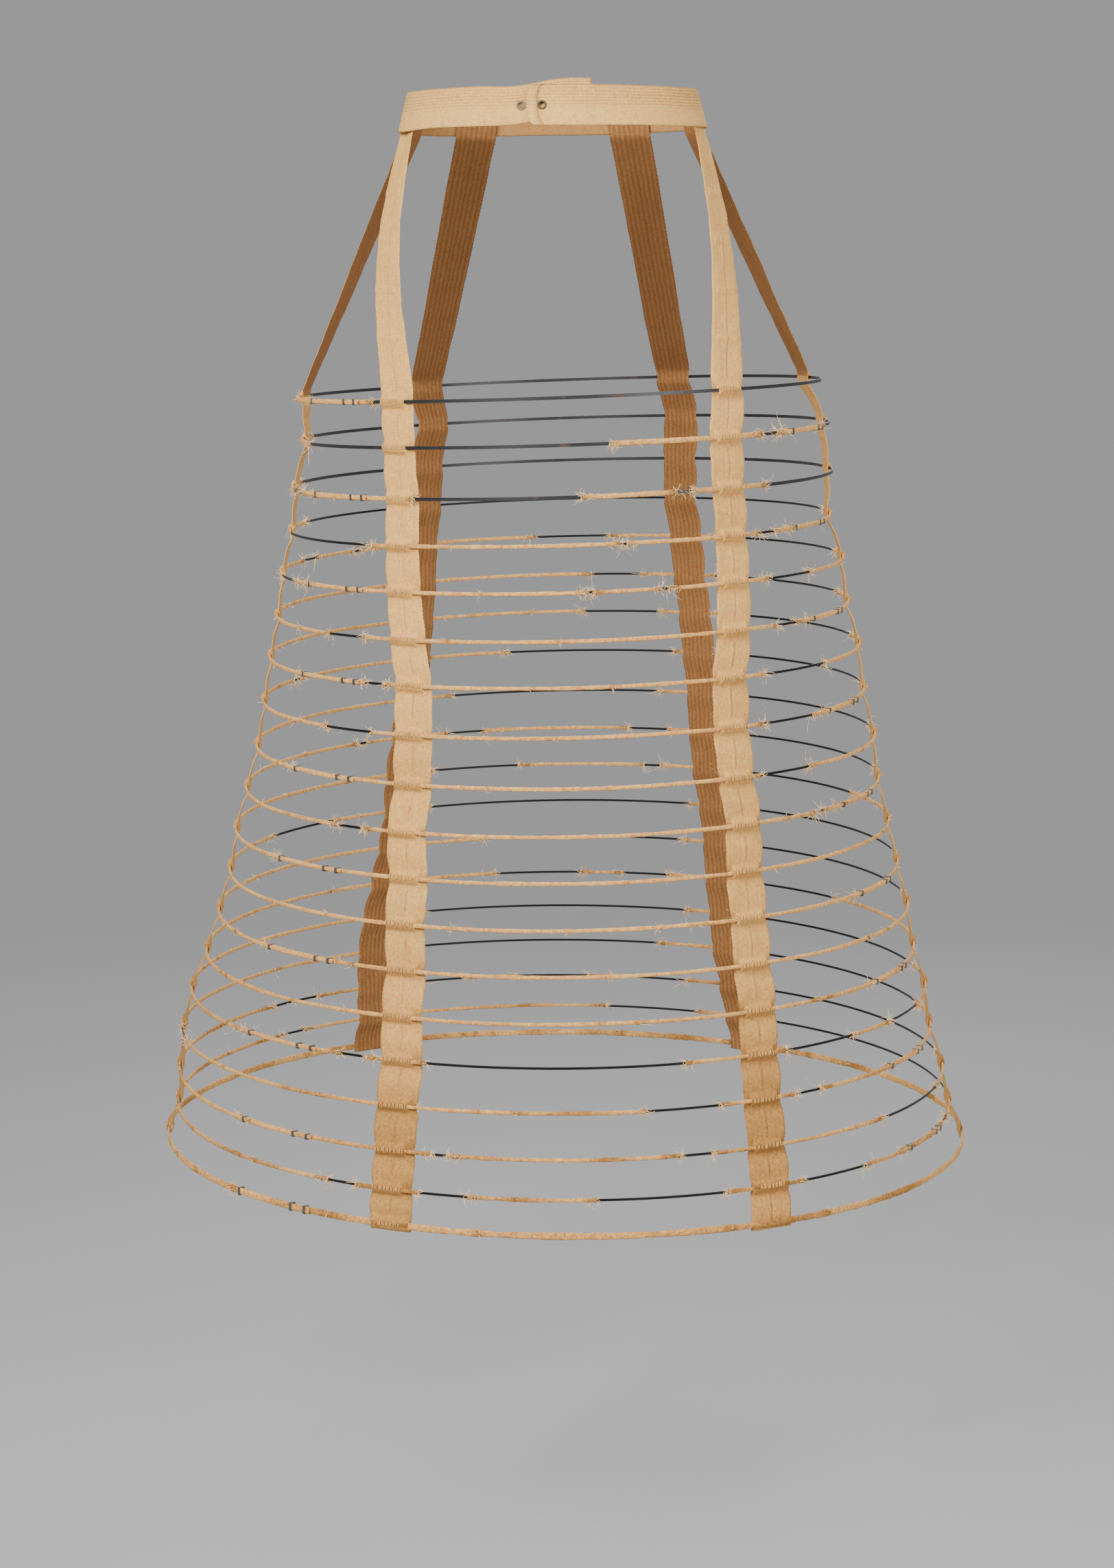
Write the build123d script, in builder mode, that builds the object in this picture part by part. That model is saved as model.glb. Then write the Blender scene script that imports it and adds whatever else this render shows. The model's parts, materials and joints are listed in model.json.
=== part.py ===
"""A crinoline cage: graded steel hoops in cotton covers, hung on woven tapes from a waistband.

The origin is the middle of the waist, +X is the wearer's left, +Y is the back and +Z is up.
Sizes are in millimetres. Angles are in degrees round an oval from its front centre: 90 is the
wearer's left, 180 the back and 270 (or -90) the wearer's right.
"""

from build123d import *
import math
import os

# The waistband: one length of tape round the waist, its ends lapped in front
WAIST_HALF_WIDTH = 120.0
WAIST_HALF_DEPTH = 95.0
BAND_HEIGHT = 31.5
BAND_THICKNESS = 1.6
BAND_FLARE = 8.0
BAND_ROLL = 0.8
BAND_OUTER_END = -20.0
BAND_INNER_END = 30.0
BAND_PLY_GAP = 0.8
BAND_EASE = 34.0

# The eyelets, one through each end of the band
EYELET_HOLE_RADIUS = 2.3
EYELET_WALL = 0.4
EYELET_FLANGE_RADIUS = 3.7
EYELET_FLANGE_THICKNESS = 0.5
OUTER_EYELET_X = -8.0
INNER_EYELET_X = -24.4
EYELET_FIT = 0.05
EYELET_REACH = BAND_THICKNESS / 2 + BAND_PLY_GAP

# The hoops, from the hips down to the hem; the sags say how far each hangs below even spacing,
# the spreads how much wider it is than the smooth outline, and the side shifts how far it has
# slipped to the wearer's left
HOOP_COUNT = 19
TOP_HOOP_DROP = 224.0
HOOP_PITCH = 35.0
HOOP_SAGS = (0, 0, 4, 5, 5, 6, 6, 8, 11, 12, 12, 12, 12, 12, 10, 9, 9, 4, -4)
TOP_HALF_WIDTH = 217.0
HEM_HALF_WIDTH = 340.0
WIDTH_CURVE = 1.25
HOOP_SPREADS = (1, 0, 0, -4, -1, -2, -1, -2, -2, -2, -1, -1, 0, 1, 4, 3, 1, -3, -2)
TOP_HALF_DEPTH = 290.0
HEM_HALF_DEPTH = 396.0
DEPTH_CURVE = 0.6
TOP_HOOP_BACK = 82.0
HEM_HOOP_BACK = 90.0
HOOP_SIDE_SHIFTS = (5, 11, 8, 7, 8, 9, 10, 10, 11, 9, 8, 10, 9, 7, 5, 4, 7, 10, 11)
TOP_HOOP_ROLL = 2.1
HEM_HOOP_ROLL = -0.3

# The steel strip and its cotton cover: heavy at the hips, light below, heaviest at the hem
HIP_HOOP_COUNT = 3
STEEL_THICKNESS = 0.6
HIP_STEEL_HEIGHT = 2.6
SKIRT_STEEL_HEIGHT = 1.9
HEM_STEEL_HEIGHT = 4.0
COVER_WALL = 0.6
COVER_FIT = 0.05
COVER_THICKNESS = STEEL_THICKNESS + 2 * (COVER_FIT + COVER_WALL)

# Where a hoop's two ends lap and are clipped: the wearer's right, then left, down the cage
HOOP_LAP = 96.0
TOP_RIGHT_LAP_END = -46.0
HEM_RIGHT_LAP_END = -36.0
LEFT_LAP_END = 70.0
LAP_EASE = 45.0
LAP_CLEARANCE = 0.1
CLIP_LENGTH = 2.4
CLIP_WALL = 0.5
CLIP_FIT = 0.05
CLIP_SPOTS = (5.0, 20.0, 85.0)

# The tapes: the angle at which each meets the waistband, the top hoop and the hem, how its line
# curves below, and how far it stands out over the hips
TAPES = {
    "front_right_tape": (-76.0, -38.5, -23.0, 2.0, 13.0),
    "front_left_tape": (78.0, 36.0, 28.0, 1.0, 8.0),
    "side_right_tape": (-107.0, -99.0, -88.0, 8.0, 0.0),
    "side_left_tape": (107.0, 105.0, 88.0, 8.0, 0.0),
    "back_right_tape": (212.0, 213.0, 213.0, 1.0, 0.0),
    "back_left_tape": (148.0, 151.5, 149.0, 1.0, 0.0),
}

# How far, as an angle at each hoop, the front tapes have worked along it to the wearer's left
TAPE_SWAYS = {
    "front_right_tape": (
        2.9, 0.7, 1.6, 0.9, 0.8, 1.0, 1.5, 1.4, 0.4, 0.0, 0.4, -0.5, -0.1, 0.2, 0.9, 0.8, -0.1, -0.8, -0.6
    ),
    "front_left_tape": (
        1.2, -1.4, -0.3, 0.9, 0.1, -0.8, -2.5, -2.5, -2.3, -0.9, -1.0, -1.1, -0.9, -0.1, 0.0, 0.5, 0.3, 0.2, -0.2
    ),
}
TAPE_WIDTH = 36.0
TAPE_THICKNESS = 1.2
TAPE_BOW = 1.4
TAPE_SEAM = 12.0
SEAM_FIT = 0.7
SEAM_TURN = 3.0
HIP_STATIONS = 6

# The pockets woven in the tapes for the hoops, and the hem folded round the bottom one
POCKET_LENGTH = 26.0
POCKET_WALL = 0.8
POCKET_LIP = 2.4
POCKET_FIT = 0.15

# Bare stretches of each hoop, where the cover has worn away, from angle to angle
BARE_STRETCHES = (
    ((-42, 262),),
    ((-70, 9), (43, 48), (71, 262)),
    ((-76, -68), (-31, 4), (22, 26), (44, 262)),
    ((-79, -40), (11, 13), (42, 47), (97, 256)),
    ((-78, -65), (4, 6), (18, 20), (42, 56), (99, 144), (169, 186), (230, 233), (246, 253)),
    ((-50, -40), (43, 49), (101, 145), (162, 174)),
    ((-39, -34), (38, 56), (98, 146), (158, 176)),
    ((-47, -36), (37, 50), (91, 146), (156, 192), (246, 250)),
    ((35, 47), (94, 148), (160, 204)),
    ((-41, -35), (47, 50), (93, 148), (158, 167), (196, 204), (222, 225)),
    ((112, 148), (160, 164), (188, 206)),
    ((92, 147), (155, 206), (228, 246)),
    ((93, 147), (157, 195)),
    ((124, 148), (160, 169), (176, 192)),
    ((-33, -28), (-19, 18), (34, 48), (58, 70), (98, 149), (157, 204)),
    ((-83, -75), (12, 23), (35, 40), (98, 148), (162, 204)),
    ((-18, -15), (16, 21), (52, 72), (94, 148), (158, 172), (175, 188), (196, 204), (224, 234)),
    ((-34, -29), (-20, -13), (4, 22), (34, 46), (72, 76), (90, 149), (157, 173), (227, 232)),
    (),
)

FULL_TURN = 360.0
ARC_ANGLE = 18.0
SMALL_ANGLE = 0.25
TINY = 0.0001


def share(index):
    """How far down the cage a hoop lies: 0 at the top hoop, 1 at the hem."""
    return index / (HOOP_COUNT - 1)


def between(first, last, part):
    """A value part of the way from first to last."""
    return first + (last - first) * part


def eased(part):
    """A smooth step from 0 to 1."""
    part = min(max(part, 0.0), 1.0)
    return part * part * (3 - 2 * part)


def sine_cosine(angle):
    return math.sin(math.radians(angle)), math.cos(math.radians(angle))


def rolled_plane(side, back, height, roll):
    """A level plane, rolled a little towards the wearer's right."""
    s, c = sine_cosine(roll)
    return Plane(origin=(side, back, height), x_dir=(c, 0, s), z_dir=(-s, 0, c))


class Oval:
    """The line of a hoop or of the waistband in its own plane: short arcs, its ends lapped.

    It starts at the angle end, and runs backwards round the body. As it comes round again it
    eases inwards by step, and passes behind its own beginning. With a negative step it eases
    outwards and passes in front of it.
    """

    def __init__(self, plane, half_width, half_depth, end, lap, step, ease):
        self.plane = plane
        self.half_width = half_width
        self.half_depth = half_depth
        self.end = end
        self.step = step
        self.ease = ease
        self.start = end - FULL_TURN - lap / self.speed(end)

    def speed(self, angle):
        """Length of line for each degree."""
        s, c = sine_cosine(angle)
        return math.hypot(self.half_width * c, self.half_depth * s) * math.radians(1)

    def onto(self, angle):
        """The same place as an angle on the line, less than a turn back from its end."""
        return self.end - (self.end - angle) % FULL_TURN

    def true_spot(self, angle):
        """A place on the smooth oval that the arcs follow."""
        shift = -self.step * eased((self.end - angle - FULL_TURN + self.ease) / self.ease)
        s, c = sine_cosine(angle)
        return Vector((self.half_width + shift) * s, -(self.half_depth + shift) * c)

    def joint_before(self, angle):
        """The last joint between two arcs at or before an angle."""
        return self.end - math.ceil((self.end - angle) / ARC_ANGLE - TINY) * ARC_ANGLE

    def normal(self, angle):
        """The direction straight out of the line."""
        along = self.true_spot(angle + SMALL_ANGLE) - self.true_spot(angle - SMALL_ANGLE)
        return Vector(along.Y, -along.X).normalized()

    def spot(self, angle, shift=0.0):
        """A place on the arc at an angle, or shift outside it."""
        low = self.joint_before(angle)
        ends = [self.true_spot(a) + self.normal(a) * shift for a in (low, low + ARC_ANGLE)]
        part = (angle - low) / ARC_ANGLE
        if part < TINY:
            return ends[0]
        middle = self.true_spot(low + ARC_ANGLE / 2) + self.normal(low + ARC_ANGLE / 2) * shift
        with BuildLine(mode=Mode.PRIVATE):
            arc = ThreePointArc(ends[0], middle, ends[1])
        return arc @ part

    def heading(self, angle):
        """The direction of the line as the angle grows."""
        normal = self.normal(angle)
        return Vector(-normal.Y, normal.X)

    def place(self, angle, shift, rise):
        """A place in the cage, shift outside the line and rise above its plane."""
        spot = self.spot(angle, shift)
        return self.plane.from_local_coords(Vector(spot.X, spot.Y, rise))

    def joints(self, first, last):
        """The angles where arcs meet between two angles, with the two themselves."""
        inside = self.joint_before(first) + ARC_ANGLE
        angles = [first]
        while inside < last - TINY:
            angles.append(inside)
            inside += ARC_ANGLE
        return angles + [last]

    def outline(self, first, last, thickness, shift=0.0):
        """Draw a strip along the line between two angles, seen from above."""
        angles = self.joints(first, last)
        with BuildLine() as edge:
            for side in (shift + thickness / 2, shift - thickness / 2):
                for low, high in zip(angles, angles[1:]):
                    ThreePointArc(*[self.spot(a, side) for a in (low, (low + high) / 2, high)])
            for a in (first, last):
                Line(self.spot(a, shift + thickness / 2), self.spot(a, shift - thickness / 2))
        make_face(edge.edges())


def hoop_line(index):
    """The line that the middle of a hoop's steel follows."""
    part = share(index)
    plane = rolled_plane(
        HOOP_SIDE_SHIFTS[index],
        between(TOP_HOOP_BACK, HEM_HOOP_BACK, part),
        -(TOP_HOOP_DROP + HOOP_PITCH * index + HOOP_SAGS[index]),
        between(TOP_HOOP_ROLL, HEM_HOOP_ROLL, part),
    )
    half_width = between(TOP_HALF_WIDTH, HEM_HALF_WIDTH, part ** WIDTH_CURVE) + HOOP_SPREADS[index]
    half_depth = between(TOP_HALF_DEPTH, HEM_HALF_DEPTH, part ** DEPTH_CURVE)
    end = LEFT_LAP_END if index % 2 else between(TOP_RIGHT_LAP_END, HEM_RIGHT_LAP_END, math.sqrt(part))
    return Oval(plane, half_width, half_depth, end, HOOP_LAP, COVER_THICKNESS + LAP_CLEARANCE, LAP_EASE)


def steel_height(index):
    if index < HIP_HOOP_COUNT:
        return HIP_STEEL_HEIGHT
    return HEM_STEEL_HEIGHT if index == HOOP_COUNT - 1 else SKIRT_STEEL_HEIGHT


def cover_height(index):
    return steel_height(index) + 2 * (COVER_FIT + COVER_WALL)


def add_strip(line, first, last, thickness, height, shift=0.0, mode=Mode.ADD):
    """Add a strip along a line between two angles, or cut it away."""
    with BuildSketch(line.plane.offset(-height / 2)) as profile:
        line.outline(first, last, thickness, shift)
    extrude(profile.sketch, amount=height, mode=mode)


def covered_stretches(index):
    """From where to where, as angles on the hoop's line, the cover is still there."""
    line = hoop_line(index)
    edges = [line.start, line.end]
    for turn in (-FULL_TURN, 0.0, FULL_TURN):
        for stretch in BARE_STRETCHES[index]:
            for angle in stretch:
                edges.append(min(max(angle + turn, line.start), line.end))
    edges.sort()
    return [(low, high) for low, high in zip(edges[::2], edges[1::2]) if high - low > SMALL_ANGLE]


def add_cover(index):
    """Cover every stretch of a hoop that isn't bare."""
    line = hoop_line(index)
    hollow = STEEL_THICKNESS + 2 * COVER_FIT
    for first, last in covered_stretches(index):
        add_strip(line, first, last, COVER_THICKNESS, cover_height(index))
        beyond = SMALL_ANGLE
        height = steel_height(index) + 2 * COVER_FIT
        add_strip(line, first - beyond, last + beyond, hollow, height, mode=Mode.SUBTRACT)


def add_clips(index):
    """Three bent metal clips round the two layers of a hoop's lap."""
    line = hoop_line(index)
    stack = 2 * COVER_THICKNESS + LAP_CLEARANCE + 2 * CLIP_FIT
    height = cover_height(index) + 2 * CLIP_FIT
    for spot in CLIP_SPOTS:
        angle = line.end - spot / line.speed(line.end)
        place = line.place(angle, -line.step / 2, 0)
        plane = Plane(place, x_dir=outward(line, angle), z_dir=level_vector(line, line.heading(angle)))
        with BuildSketch(plane.offset(-CLIP_LENGTH / 2)) as profile:
            Rectangle(stack + 2 * CLIP_WALL, height + 2 * CLIP_WALL)
            Rectangle(stack, height, mode=Mode.SUBTRACT)
        extrude(profile.sketch, amount=CLIP_LENGTH)


def waist_line(rise=0.0):
    """The line of the waistband at a height above its middle; it stands out towards its lower edge."""
    half_width = WAIST_HALF_WIDTH - BAND_FLARE * rise / BAND_HEIGHT
    half_depth = WAIST_HALF_DEPTH - BAND_FLARE * rise / BAND_HEIGHT
    end = math.degrees(math.asin(BAND_INNER_END / half_width))
    lap = BAND_INNER_END - BAND_OUTER_END
    plane = rolled_plane(0, 0, 0, BAND_ROLL).offset(rise)
    return Oval(plane, half_width, half_depth, end, lap, -(BAND_THICKNESS + BAND_PLY_GAP), BAND_EASE)


def level_vector(line, vector):
    """A direction on a line's plane as a direction in the cage."""
    origin = line.plane.from_local_coords(Vector(0, 0, 0))
    return (line.plane.from_local_coords(Vector(vector.X, vector.Y, 0)) - origin).normalized()


def outward(line, angle):
    """The level direction that faces away from the body."""
    heading = line.heading(angle)
    return level_vector(line, Vector(heading.Y, -heading.X))


def add_waistband():
    """The lapped band, with a hole for an eyelet through each end."""
    edges = []
    for rise in (-BAND_HEIGHT / 2, BAND_HEIGHT / 2):
        line = waist_line(rise)
        with BuildSketch(line.plane) as edge:
            line.outline(line.start, line.end, BAND_THICKNESS)
        edges.append(edge.sketch)
    loft(edges, ruled=True)
    for plane in (outer_eyelet_plane(), inner_eyelet_plane()):
        with BuildSketch(plane.offset(-EYELET_REACH)) as hole:
            Circle(EYELET_HOLE_RADIUS + EYELET_WALL + EYELET_FIT)
        extrude(hole.sketch, amount=2 * EYELET_REACH, mode=Mode.SUBTRACT)


def eyelet_plane(side, turn):
    """The plane through the middle of the band's wall, its normal pointing out of the band."""
    line = waist_line()
    angle = math.degrees(math.asin(side / line.half_width)) + turn
    s, c = sine_cosine(math.degrees(math.atan(BAND_FLARE / BAND_HEIGHT)))
    normal = outward(line, angle) * c + line.plane.z_dir * s
    return Plane(line.place(angle, 0, 0), x_dir=level_vector(line, line.heading(angle)), z_dir=normal)


def outer_eyelet_plane():
    return eyelet_plane(OUTER_EYELET_X, -FULL_TURN)


def inner_eyelet_plane():
    return eyelet_plane(INNER_EYELET_X, 0)


def add_eyelet(plane):
    """A short tube with a flange turned out at each end."""
    seat = BAND_THICKNESS / 2 + EYELET_FIT
    with BuildSketch(plane.offset(-seat)) as tube:
        Circle(EYELET_HOLE_RADIUS + EYELET_WALL)
    extrude(tube.sketch, amount=2 * seat)
    for start in (seat, -seat - EYELET_FLANGE_THICKNESS):
        with BuildSketch(plane.offset(start)) as flange:
            Circle(EYELET_FLANGE_RADIUS)
        extrude(flange.sketch, amount=EYELET_FLANGE_THICKNESS)
    with BuildSketch(plane.offset(-EYELET_REACH)) as bore:
        Circle(EYELET_HOLE_RADIUS)
    extrude(bore.sketch, amount=2 * EYELET_REACH, mode=Mode.SUBTRACT)


def pocket_reach(index):
    """How far above and below a hoop its pocket is woven."""
    return cover_height(index) / 2 + POCKET_FIT + POCKET_WALL + POCKET_LIP


def tape_angle(name, index):
    """Where a tape crosses a hoop."""
    waist, top, hem, curve, hip = TAPES[name]
    angle = between(hem, top, (1 - share(index)) ** curve)
    if name in TAPE_SWAYS:
        angle += TAPE_SWAYS[name][index]
    return hoop_line(index).onto(angle)


def station(line, angle, shift, rise):
    """A straight section across a tape: its middle, and the way its width runs."""
    half = TAPE_WIDTH / 2 / line.speed(angle)
    first, last = line.place(angle - half, shift, rise), line.place(angle + half, shift, rise)
    return (first + last) / 2, (last - first).normalized()


def mixed(first, last, part):
    """A station part of the way from first to last."""
    return tuple(between(a, b, part) for a, b in zip(first, last))


def tape_stations(name):
    """The sections of a tape, from the waistband down to the hem."""
    stations = []
    waist_angle, hip = TAPES[name][0], TAPES[name][4]
    shift = -(BAND_THICKNESS / 2 + SEAM_FIT + TAPE_THICKNESS / 2)
    for rise in (TAPE_SEAM - BAND_HEIGHT / 2, -BAND_HEIGHT / 2 - SEAM_TURN):
        line = waist_line(rise)
        stations.append(station(line, line.onto(waist_angle), shift, 0))
    shift = -(COVER_THICKNESS / 2 + POCKET_FIT + TAPE_THICKNESS / 2)
    for index in range(HOOP_COUNT):
        line = hoop_line(index)
        angle = tape_angle(name, index)
        upper = station(line, angle, shift, pocket_reach(index))
        lower = station(line, angle, shift, -pocket_reach(index))
        if index:
            place, heading = mixed(stations[-1], upper, 0.5)
            stations.append((place + outward(line, angle) * TAPE_BOW, heading))
        else:
            band_edge = stations[-1]
            for k in range(1, HIP_STATIONS):
                place, heading = mixed(band_edge, upper, k / HIP_STATIONS)
                away = heading.cross(Vector(0, 0, 1)).normalized()
                stations.append((place + away * hip * math.sin(math.pi * k / HIP_STATIONS), heading))
        stations += [upper, lower]
    return stations


def tape_section(place, heading, travel):
    """A level cut through a tape, thicker where the tape leans, with its outer face kept in place."""
    across = Vector(heading.X, heading.Y).normalized()
    lean = abs(travel.dot(across.rotate(Axis.Z, 90)) / travel.Z)
    thickness = TAPE_THICKNESS * math.hypot(1, lean)
    plane = Plane(place, x_dir=heading, z_dir=heading.cross(across.cross(Vector(0, 0, 1))))
    with BuildSketch(plane) as section:
        with Locations((0, (TAPE_THICKNESS - thickness) / 2)):
            Rectangle(TAPE_WIDTH, thickness)
    return section.sketch


def pocket(name, index):
    """The second layer of a tape, which holds a hoop; at the hem it is the folded end."""
    line = hoop_line(index)
    angle = tape_angle(name, index)
    length = TAPE_WIDTH if index == HOOP_COUNT - 1 else POCKET_LENGTH
    half = COVER_THICKNESS / 2 + POCKET_FIT
    middle, heading = station(line, angle, 0, 0)
    rise = (line.place(angle, 0, 0) - middle).length
    inner, outer = -half - TAPE_THICKNESS / 2, rise + half + POCKET_WALL
    wide, narrow = pocket_reach(index), pocket_reach(index) - POCKET_LIP
    channel = TAPE_WIDTH / line.speed(angle)
    with BuildPart(mode=Mode.PRIVATE) as sleeve:
        with BuildSketch(Plane(middle, x_dir=outward(line, angle), z_dir=heading).offset(-length / 2)):
            Polygon((inner, -wide), (outer, -narrow), (outer, narrow), (inner, wide), align=None)
        extrude(amount=length)
        add_strip(
            line,
            angle - channel,
            angle + channel,
            2 * half,
            cover_height(index) + 2 * POCKET_FIT,
            mode=Mode.SUBTRACT,
        )
    return sleeve.part


def add_tape(name):
    """A tape from the waistband to the hem, with a pocket for each hoop."""
    stations = tape_stations(name)
    places = [place for place, heading in stations]
    neighbours = zip(places[:1] + places, places[1:] + places[-1:])
    travels = [(after - before).normalized() for before, after in neighbours]
    loft([tape_section(*middle, travel) for middle, travel in zip(stations, travels)], ruled=True)
    add([pocket(name, index) for index in range(HOOP_COUNT)])


def save(part, name):
    part.label = name
    export_step(part, f"parts/{name}.step")


os.makedirs("parts", exist_ok=True)

for index in range(HOOP_COUNT):
    line = hoop_line(index)
    with BuildPart() as hoop_steel:
        add_strip(line, line.start, line.end, STEEL_THICKNESS, steel_height(index))
    save(hoop_steel.part, f"hoop_{index + 1:02d}_steel")

    with BuildPart() as hoop_cover:
        add_cover(index)
    save(hoop_cover.part, f"hoop_{index + 1:02d}_cover")

for name, first in (("splice_clips_right", 0), ("splice_clips_left", 1)):
    with BuildPart() as splice_clips:
        for index in range(first, HOOP_COUNT, 2):
            add_clips(index)
    save(splice_clips.part, name)

for name in TAPES:
    with BuildPart() as tape:
        add_tape(name)
    save(tape.part, name)

with BuildPart() as waistband:
    add_waistband()
save(waistband.part, "waistband")

with BuildPart() as outer_eyelet:
    add_eyelet(outer_eyelet_plane())
save(outer_eyelet.part, "outer_eyelet")

with BuildPart() as inner_eyelet:
    add_eyelet(inner_eyelet_plane())
save(inner_eyelet.part, "inner_eyelet")
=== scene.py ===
"""A worn crinoline cage: woven tapes and covers, spring hoops and clips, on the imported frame.

Lengths are in metres, in the frame's own axes: +Z up, -Y the front, +X the wearer's left.
"""

import json
import math

import bmesh
import bpy
import numpy as np
from bpy.props import BoolProperty, FloatProperty, FloatVectorProperty, IntProperty, PointerProperty
from bpy.types import Operator, Panel, PropertyGroup
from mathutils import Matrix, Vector


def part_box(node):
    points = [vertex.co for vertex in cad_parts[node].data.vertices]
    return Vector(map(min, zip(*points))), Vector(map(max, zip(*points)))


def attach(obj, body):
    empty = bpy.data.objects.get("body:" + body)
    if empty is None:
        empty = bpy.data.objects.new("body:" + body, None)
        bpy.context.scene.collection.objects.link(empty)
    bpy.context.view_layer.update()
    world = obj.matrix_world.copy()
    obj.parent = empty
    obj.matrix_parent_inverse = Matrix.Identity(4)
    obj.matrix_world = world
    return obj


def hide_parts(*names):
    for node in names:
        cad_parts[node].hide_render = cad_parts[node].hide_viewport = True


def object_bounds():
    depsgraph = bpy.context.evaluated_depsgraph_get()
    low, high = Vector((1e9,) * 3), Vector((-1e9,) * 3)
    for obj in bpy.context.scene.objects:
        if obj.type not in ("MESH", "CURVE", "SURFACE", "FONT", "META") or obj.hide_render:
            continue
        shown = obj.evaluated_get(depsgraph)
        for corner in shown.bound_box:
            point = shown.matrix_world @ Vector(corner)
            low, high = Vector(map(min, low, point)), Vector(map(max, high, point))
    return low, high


bl_info = {
    "name": "Crinoline cage",
    "version": (1, 0, 0),
    "blender": (4, 5, 0),
    "location": "View3D > Sidebar > Crinoline",
    "description": "Dresses the packed frame of a crinoline cage in worn cloth and steel",
    "category": "Object",
}

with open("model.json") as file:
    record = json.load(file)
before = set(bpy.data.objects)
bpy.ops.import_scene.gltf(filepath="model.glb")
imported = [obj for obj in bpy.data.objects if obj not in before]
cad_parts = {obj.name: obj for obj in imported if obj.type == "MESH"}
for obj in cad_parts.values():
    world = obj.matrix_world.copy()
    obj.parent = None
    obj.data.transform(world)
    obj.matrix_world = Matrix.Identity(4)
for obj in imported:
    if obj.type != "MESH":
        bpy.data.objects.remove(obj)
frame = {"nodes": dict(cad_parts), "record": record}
nodes = frame["nodes"]
cad_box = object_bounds()

MM = 0.001
HOOP_NAMES = sorted(name[:7] for name in nodes if name.endswith("_steel"))
TAPE_NAMES = sorted(name for name in nodes if name.endswith("_tape"))
UP = np.array([0.0, 0.0, 1.0])


class CageCloth(PropertyGroup):
    """Sizes of the cloth pieces."""

    cover_step: FloatProperty(
        name="Cover step",
        description="Distance between the rings of a hoop's cover",
        default=2.2 * MM,
        min=1 * MM,
        unit="LENGTH",
    )
    cover_sides: IntProperty(
        name="Cover sides", description="Faces round a hoop's cover", default=12, min=6, max=24
    )
    lumpiness: FloatProperty(
        name="Lumpiness", description="How uneven a hoop's cover is", default=0.15, min=0.0, max=0.4
    )
    tape_thickness: FloatProperty(
        name="Tape thickness",
        description="Thickness of a woven tape",
        default=1.1 * MM,
        min=0.4 * MM,
        unit="LENGTH",
    )
    tape_step: FloatProperty(
        name="Tape step",
        description="Distance between the rows of a tape's mesh",
        default=1.0 * MM,
        min=0.5 * MM,
        unit="LENGTH",
    )
    tape_columns: IntProperty(
        name="Tape columns", description="Faces across a tape", default=32, min=10, max=60
    )
    tape_waist: FloatProperty(
        name="Tape narrowing",
        description="How much narrower a tape is where a hoop pinches it",
        default=1.8 * MM,
        min=0.0,
        unit="LENGTH",
    )
    selvedge: FloatProperty(
        name="Selvedge teeth",
        description="How far a tape's woven edge goes in and out",
        default=0.3 * MM,
        min=0.0,
        unit="LENGTH",
    )
    band_step: FloatProperty(
        name="Band step",
        description="Distance between the rows of the waistband's mesh",
        default=1.2 * MM,
        min=0.5 * MM,
        unit="LENGTH",
    )
    band_hem: FloatProperty(
        name="Band hem",
        description="Length that is folded back at each end of the waistband",
        default=8 * MM,
        min=2 * MM,
        unit="LENGTH",
    )
    thread_radius: FloatProperty(
        name="Thread radius",
        description="Radius of a loose thread",
        default=0.31 * MM,
        min=0.05 * MM,
        unit="LENGTH",
    )
    loose_threads: BoolProperty(
        name="Loose threads", description="Add the frayed ends of the covers", default=True
    )


class CageColours(PropertyGroup):
    """Colours of the cloth and metal."""

    cover: FloatVectorProperty(
        name="Cover", description="Clean cotton of the hoops", subtype="COLOR", default=(0.84, 0.46, 0.15)
    )
    tape: FloatVectorProperty(
        name="Tape", description="Clean cotton of the tapes", subtype="COLOR", default=(0.97, 0.55, 0.17)
    )
    band: FloatVectorProperty(
        name="Band", description="Cotton of the waistband", subtype="COLOR", default=(0.97, 0.56, 0.18)
    )
    thread: FloatVectorProperty(
        name="Thread", description="Loose threads at the worn ends", subtype="COLOR", default=(0.95, 0.66, 0.33)
    )
    stain: FloatVectorProperty(
        name="Stain", description="Rust and age in the cotton", subtype="COLOR", default=(0.34, 0.14, 0.03)
    )
    hip_steel: FloatVectorProperty(
        name="Hip steel", description="Steel of the upper hoops", subtype="COLOR", default=(0.06, 0.06, 0.063)
    )
    skirt_steel: FloatVectorProperty(
        name="Skirt steel", description="Steel of the lower hoops", subtype="COLOR", default=(0.022, 0.021, 0.021)
    )


def eased(part):
    """A smooth step from 0 to 1, of a number or an array."""
    part = np.clip(part, 0.0, 1.0)
    return part * part * (3 - 2 * part)


def noise_along(count, step, length, seed):
    """Smooth values between -1 and 1 along a line, that change over the given length."""
    rng = np.random.default_rng(seed)
    place = np.arange(count) * step / length
    cell = place.astype(int)
    values = rng.uniform(-1, 1, cell[-1] + 2)
    part = eased(place - cell)
    return values[cell] * (1 - part) + values[cell + 1] * part


def softened(values, reach):
    """An array smoothed along its first axis."""
    window = np.hanning(2 * reach + 3)[1:-1]
    window /= window.sum()
    rows = np.asarray(values, float)
    flat = rows.reshape(len(rows), -1)
    padded = np.concatenate([2 * flat[:1] - flat[reach:0:-1], flat, 2 * flat[-1:] - flat[-2 : -reach - 2 : -1]])
    return np.stack([np.convolve(column, window, "valid") for column in padded.T], 1).reshape(rows.shape)


def unit(vectors):
    return vectors / np.linalg.norm(vectors, axis=-1, keepdims=True)


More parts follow.
